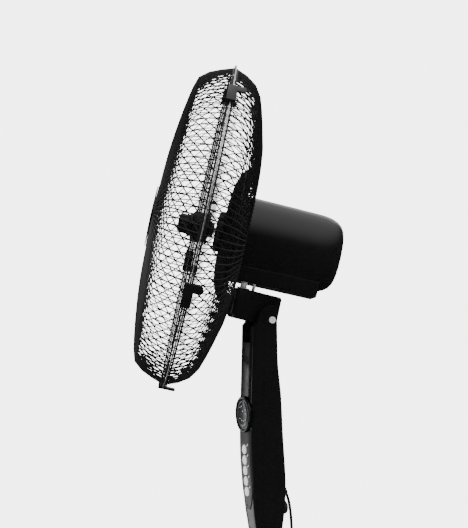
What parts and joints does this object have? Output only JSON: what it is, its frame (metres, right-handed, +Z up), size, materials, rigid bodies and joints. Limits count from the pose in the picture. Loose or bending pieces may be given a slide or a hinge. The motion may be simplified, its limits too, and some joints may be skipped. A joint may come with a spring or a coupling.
{
  "type": "pedestal fan",
  "caption": "Pedestal fan with round wire guard, tilting and swinging motor head, slim control column with round display, sliding pole and round base.",
  "frame": {"origin": "centre of the base's underside, on the floor at the bottom of the centre foot", "axes": "+Z up along the pole, the control column faces -Y, +X is the side of the tilt bolt head"},
  "size_m": [0.4294, 0.4979, 1.1251],
  "materials": {
    "gloss_black_abs": "gloss",
    "satin_black_plastic": "satin",
    "black_coated_wire": "semi gloss",
    "black_enamelled_tube": "gloss",
    "panel_grey": "gloss",
    "display_smoke": "gloss",
    "silver_plastic": "satin",
    "silver_band": "satin",
    "bright_steel": "satin",
    "chromed_tube": "polished",
    "smoked_styrene": "translucent gloss",
    "black_rubber": "matt",
    "black_pvc": "satin",
    "steel_plate": "matt",
    "laminated_iron": "dull",
    "board_green": "matt"
  },
  "bodies": {
    "stand": {"base_pan": "steel_plate", "base_cover": "gloss_black_abs", "foot_centre": "black_rubber", "foot_1": "black_rubber", "foot_2": "black_rubber", "foot_3": "black_rubber", "foot_4": "black_rubber", "foot_5": "black_rubber", "pole_socket": "gloss_black_abs", "outer_pole": "black_enamelled_tube", "cord_run": "black_pvc", "cord_coil": "black_pvc", "cord_tail": "black_pvc", "plug_body": "black_pvc", "plug_pin_1": "bright_steel", "plug_pin_2": "bright_steel"},
    "lock_nut": {"height_lock_nut": "gloss_black_abs"},
    "column": {"inner_pole": "chromed_tube", "column_front": "gloss_black_abs", "column_rear": "gloss_black_abs", "panel_insert": "panel_grey", "display_bezel": "gloss_black_abs", "display_lens": "display_smoke", "control_board": "board_green", "shell_screw_1": "bright_steel", "shell_screw_2": "bright_steel", "cord_gland": "black_pvc", "pivot_bolt": "bright_steel", "pivot_nut": "bright_steel"},
    "clamp_knob": {"clamp_knob": "satin_black_plastic"},
    "tilt": {"tilt_box": "gloss_black_abs", "swivel_post": "bright_steel", "link_pin": "bright_steel"},
    "link": {"crank_link": "bright_steel"},
    "head": {"motor_tray": "gloss_black_abs", "motor_housing": "gloss_black_abs", "motor_front_cover": "satin_black_plastic", "stator": "laminated_iron", "gearbox": "satin_black_plastic", "rear_guard": "black_coated_wire", "guard_ring": "silver_band", "front_guard": "black_coated_wire", "guard_badge": "satin_black_plastic", "guard_nut": "satin_black_plastic"},
    "crank": {"crank_disc": "bright_steel"},
    "rotor": {"rotor_shaft": "bright_steel", "blade": "smoked_styrene", "spinner_nut": "satin_black_plastic"},
    "button_1": {"button_1": "silver_plastic"},
    "button_2": {"button_2": "silver_plastic"},
    "button_3": {"button_3": "silver_plastic"},
    "button_4": {"button_4": "silver_plastic"},
    "button_5": {"button_5": "silver_plastic"},
    "clip_1": {"clip_1": "satin_black_plastic"},
    "clip_2": {"clip_2": "satin_black_plastic"},
    "clip_3": {"clip_3": "satin_black_plastic"},
    "clip_4": {"clip_4": "satin_black_plastic"},
    "clip_5": {"clip_5": "satin_black_plastic"}
  },
  "joints": [
    {"name": "height_slide", "type": "slide", "parent": "stand", "child": "column", "axis": [0, 0, 1], "range_m": [0, 0.17]},
    {"name": "lock_nut_turn", "type": "hinge", "parent": "stand", "child": "lock_nut", "pos_m": [0, 0, 0.436], "axis": [0, 0, 1], "range_deg": [-20, 180]},
    {"name": "clamp_knob_turn", "type": "hinge", "parent": "column", "child": "clamp_knob", "pos_m": [0, 0.025, 0.526], "axis": [0, 1, 0], "range_deg": [-180, 20]},
    {"name": "tilt_hinge", "type": "hinge", "parent": "column", "child": "tilt", "pos_m": [0, 0, 0.784], "axis": [1, 0, 0], "range_deg": [-6.5, 28.5]},
    {"name": "swing_hinge", "type": "hinge", "parent": "tilt", "child": "head", "pos_m": [0, -0.01715, 0.8925], "axis": [0, 0.2334, 0.9724], "range_deg": [-21, 59]},
    {"name": "link_turn", "type": "hinge", "parent": "tilt", "child": "link", "pos_m": [0, -0.01458, 0.83892], "axis": [0, 0.2334, 0.9724], "range_deg": [-22, 60]},
    {"name": "crank_turn", "type": "hinge", "parent": "head", "child": "crank", "pos_m": [0.01986, 0.02773, 0.83236], "axis": [0, 0.2334, 0.9724], "range_deg": [-48, 133]},
    {"name": "blade_spin", "type": "hinge", "parent": "head", "child": "rotor", "pos_m": [-0.02474, -0.08702, 0.90928], "axis": [-0.3256, -0.9194, 0.2207], "continuous": true},
    {"name": "button_1_press", "type": "slide", "parent": "column", "child": "button_1", "axis": [0, 1, 0], "range_m": [0, 0.0015], "stiffness_N_per_m": 500},
    {"name": "button_2_press", "type": "slide", "parent": "column", "child": "button_2", "axis": [0, 1, 0], "range_m": [0, 0.0015], "stiffness_N_per_m": 500},
    {"name": "button_3_press", "type": "slide", "parent": "column", "child": "button_3", "axis": [0, 1, 0], "range_m": [0, 0.0015], "stiffness_N_per_m": 500},
    {"name": "button_4_press", "type": "slide", "parent": "column", "child": "button_4", "axis": [0, 1, 0], "range_m": [0, 0.0015], "stiffness_N_per_m": 500},
    {"name": "button_5_press", "type": "slide", "parent": "column", "child": "button_5", "axis": [0, 1, 0], "range_m": [0, 0.0015], "stiffness_N_per_m": 500},
    {"name": "clip_1_latch", "type": "hinge", "parent": "head", "child": "clip_1", "pos_m": [0.1297, -0.0962, 1.07165], "axis": [-0.6568, 0.3878, 0.6467], "range_deg": [0, 35]},
    {"name": "clip_2_latch", "type": "hinge", "parent": "head", "child": "clip_2", "pos_m": [0.16438, -0.16874, 0.82065], "axis": [0.4439, 0.0575, 0.8942], "range_deg": [0, 35]},
    {"name": "clip_3_latch", "type": "hinge", "parent": "head", "child": "clip_3", "pos_m": [-0.0596, -0.12072, 0.6903], "axis": [0.9312, -0.3523, -0.094], "range_deg": [0, 35]},
    {"name": "clip_4_latch", "type": "hinge", "parent": "head", "child": "clip_4", "pos_m": [-0.23271, -0.0185, 0.86074], "axis": [0.1316, -0.2752, -0.9523], "range_deg": [0, 35]},
    {"name": "clip_5_latch", "type": "hinge", "parent": "head", "child": "clip_5", "pos_m": [-0.11572, -0.00335, 1.09642], "axis": [-0.8498, 0.1822, -0.4946], "range_deg": [0, 35]}
  ],
  "couplings": [
    {"joint": "link_turn", "follows": "swing_hinge", "ratio": 1},
    {"joint": "crank_turn", "follows": "swing_hinge", "ratio": 2.25}
  ]
}
